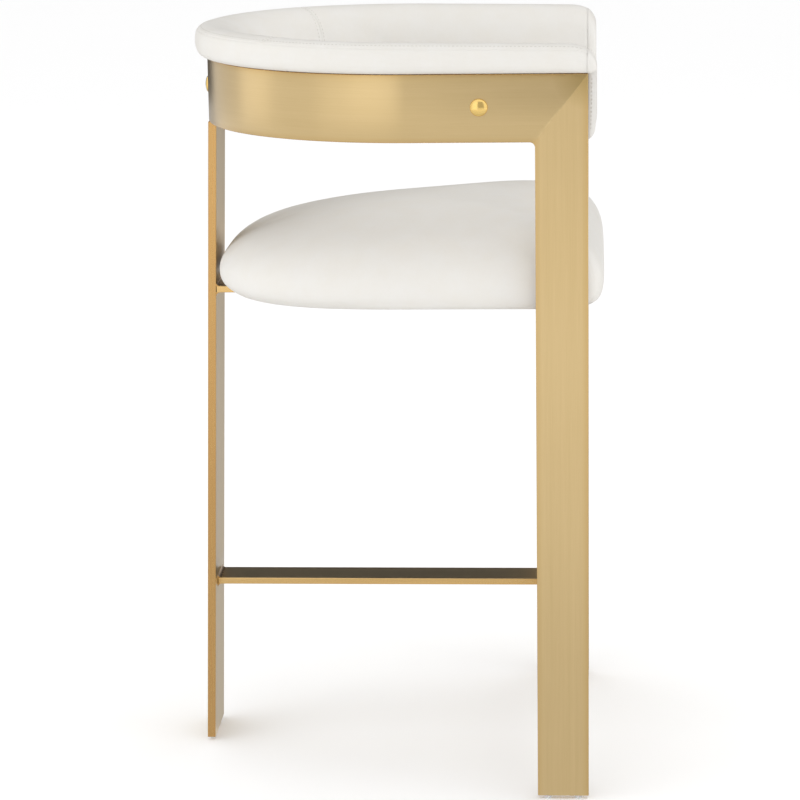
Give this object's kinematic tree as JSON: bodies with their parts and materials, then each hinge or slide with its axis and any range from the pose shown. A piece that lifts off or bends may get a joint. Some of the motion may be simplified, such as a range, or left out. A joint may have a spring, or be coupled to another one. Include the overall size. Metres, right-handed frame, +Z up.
{
  "type": "bar stool with footrest",
  "caption": "Counter stool with a flat-bar metal frame, a U-shaped back band over front legs and one rear leg, a T-shaped footrest, a domed seat cushion and a padded wrap-around low back.",
  "frame": {"origin": "on the floor, under the middle of the stool's bounding box", "axes": "+Z up, -Y towards the front where the sitter's legs go, +X to the sitter's left"},
  "size_m": [0.523, 0.496, 0.8945],
  "materials": {
    "brushed_gold": "brushed satin gold-coloured metal, grain along each bar",
    "polished_gold": "polished gold-coloured cap",
    "white_leather": "smooth warm white leather with fine grain",
    "plywood": "bare birch plywood",
    "lining_cloth": "black non-woven lining",
    "clear_plastic": "translucent white plastic",
    "zinc_steel": "zinc-plated steel"
  },
  "bodies": {
    "root": {"back_band": "brushed_gold", "back_cap_screw_left": "polished_gold", "back_cap_screw_rear": "polished_gold", "back_cap_screw_right": "polished_gold", "back_cushion": "white_leather", "back_insert_left": "zinc_steel", "back_insert_rear": "zinc_steel", "back_insert_right": "zinc_steel", "back_outer_cover": "white_leather", "back_shell": "plywood", "footrest_bar": "brushed_gold", "footrest_cross_bar": "brushed_gold", "front_leg_left": "brushed_gold", "front_leg_right": "brushed_gold", "glide_front_left_1": "clear_plastic", "glide_front_left_2": "clear_plastic", "glide_front_right_1": "clear_plastic", "glide_front_right_2": "clear_plastic", "glide_rear_1": "clear_plastic", "glide_rear_2": "clear_plastic", "rear_leg": "brushed_gold", "seat_board": "plywood", "seat_cushion": "white_leather", "seat_dust_cover": "lining_cloth", "seat_insert_1": "zinc_steel", "seat_insert_2": "zinc_steel", "seat_insert_3": "zinc_steel", "seat_insert_4": "zinc_steel", "seat_screw_1": "zinc_steel", "seat_screw_2": "zinc_steel", "seat_screw_3": "zinc_steel", "seat_screw_4": "zinc_steel", "seat_support_bar": "brushed_gold", "seat_support_cross_bar": "brushed_gold"}
  },
  "joints": []
}
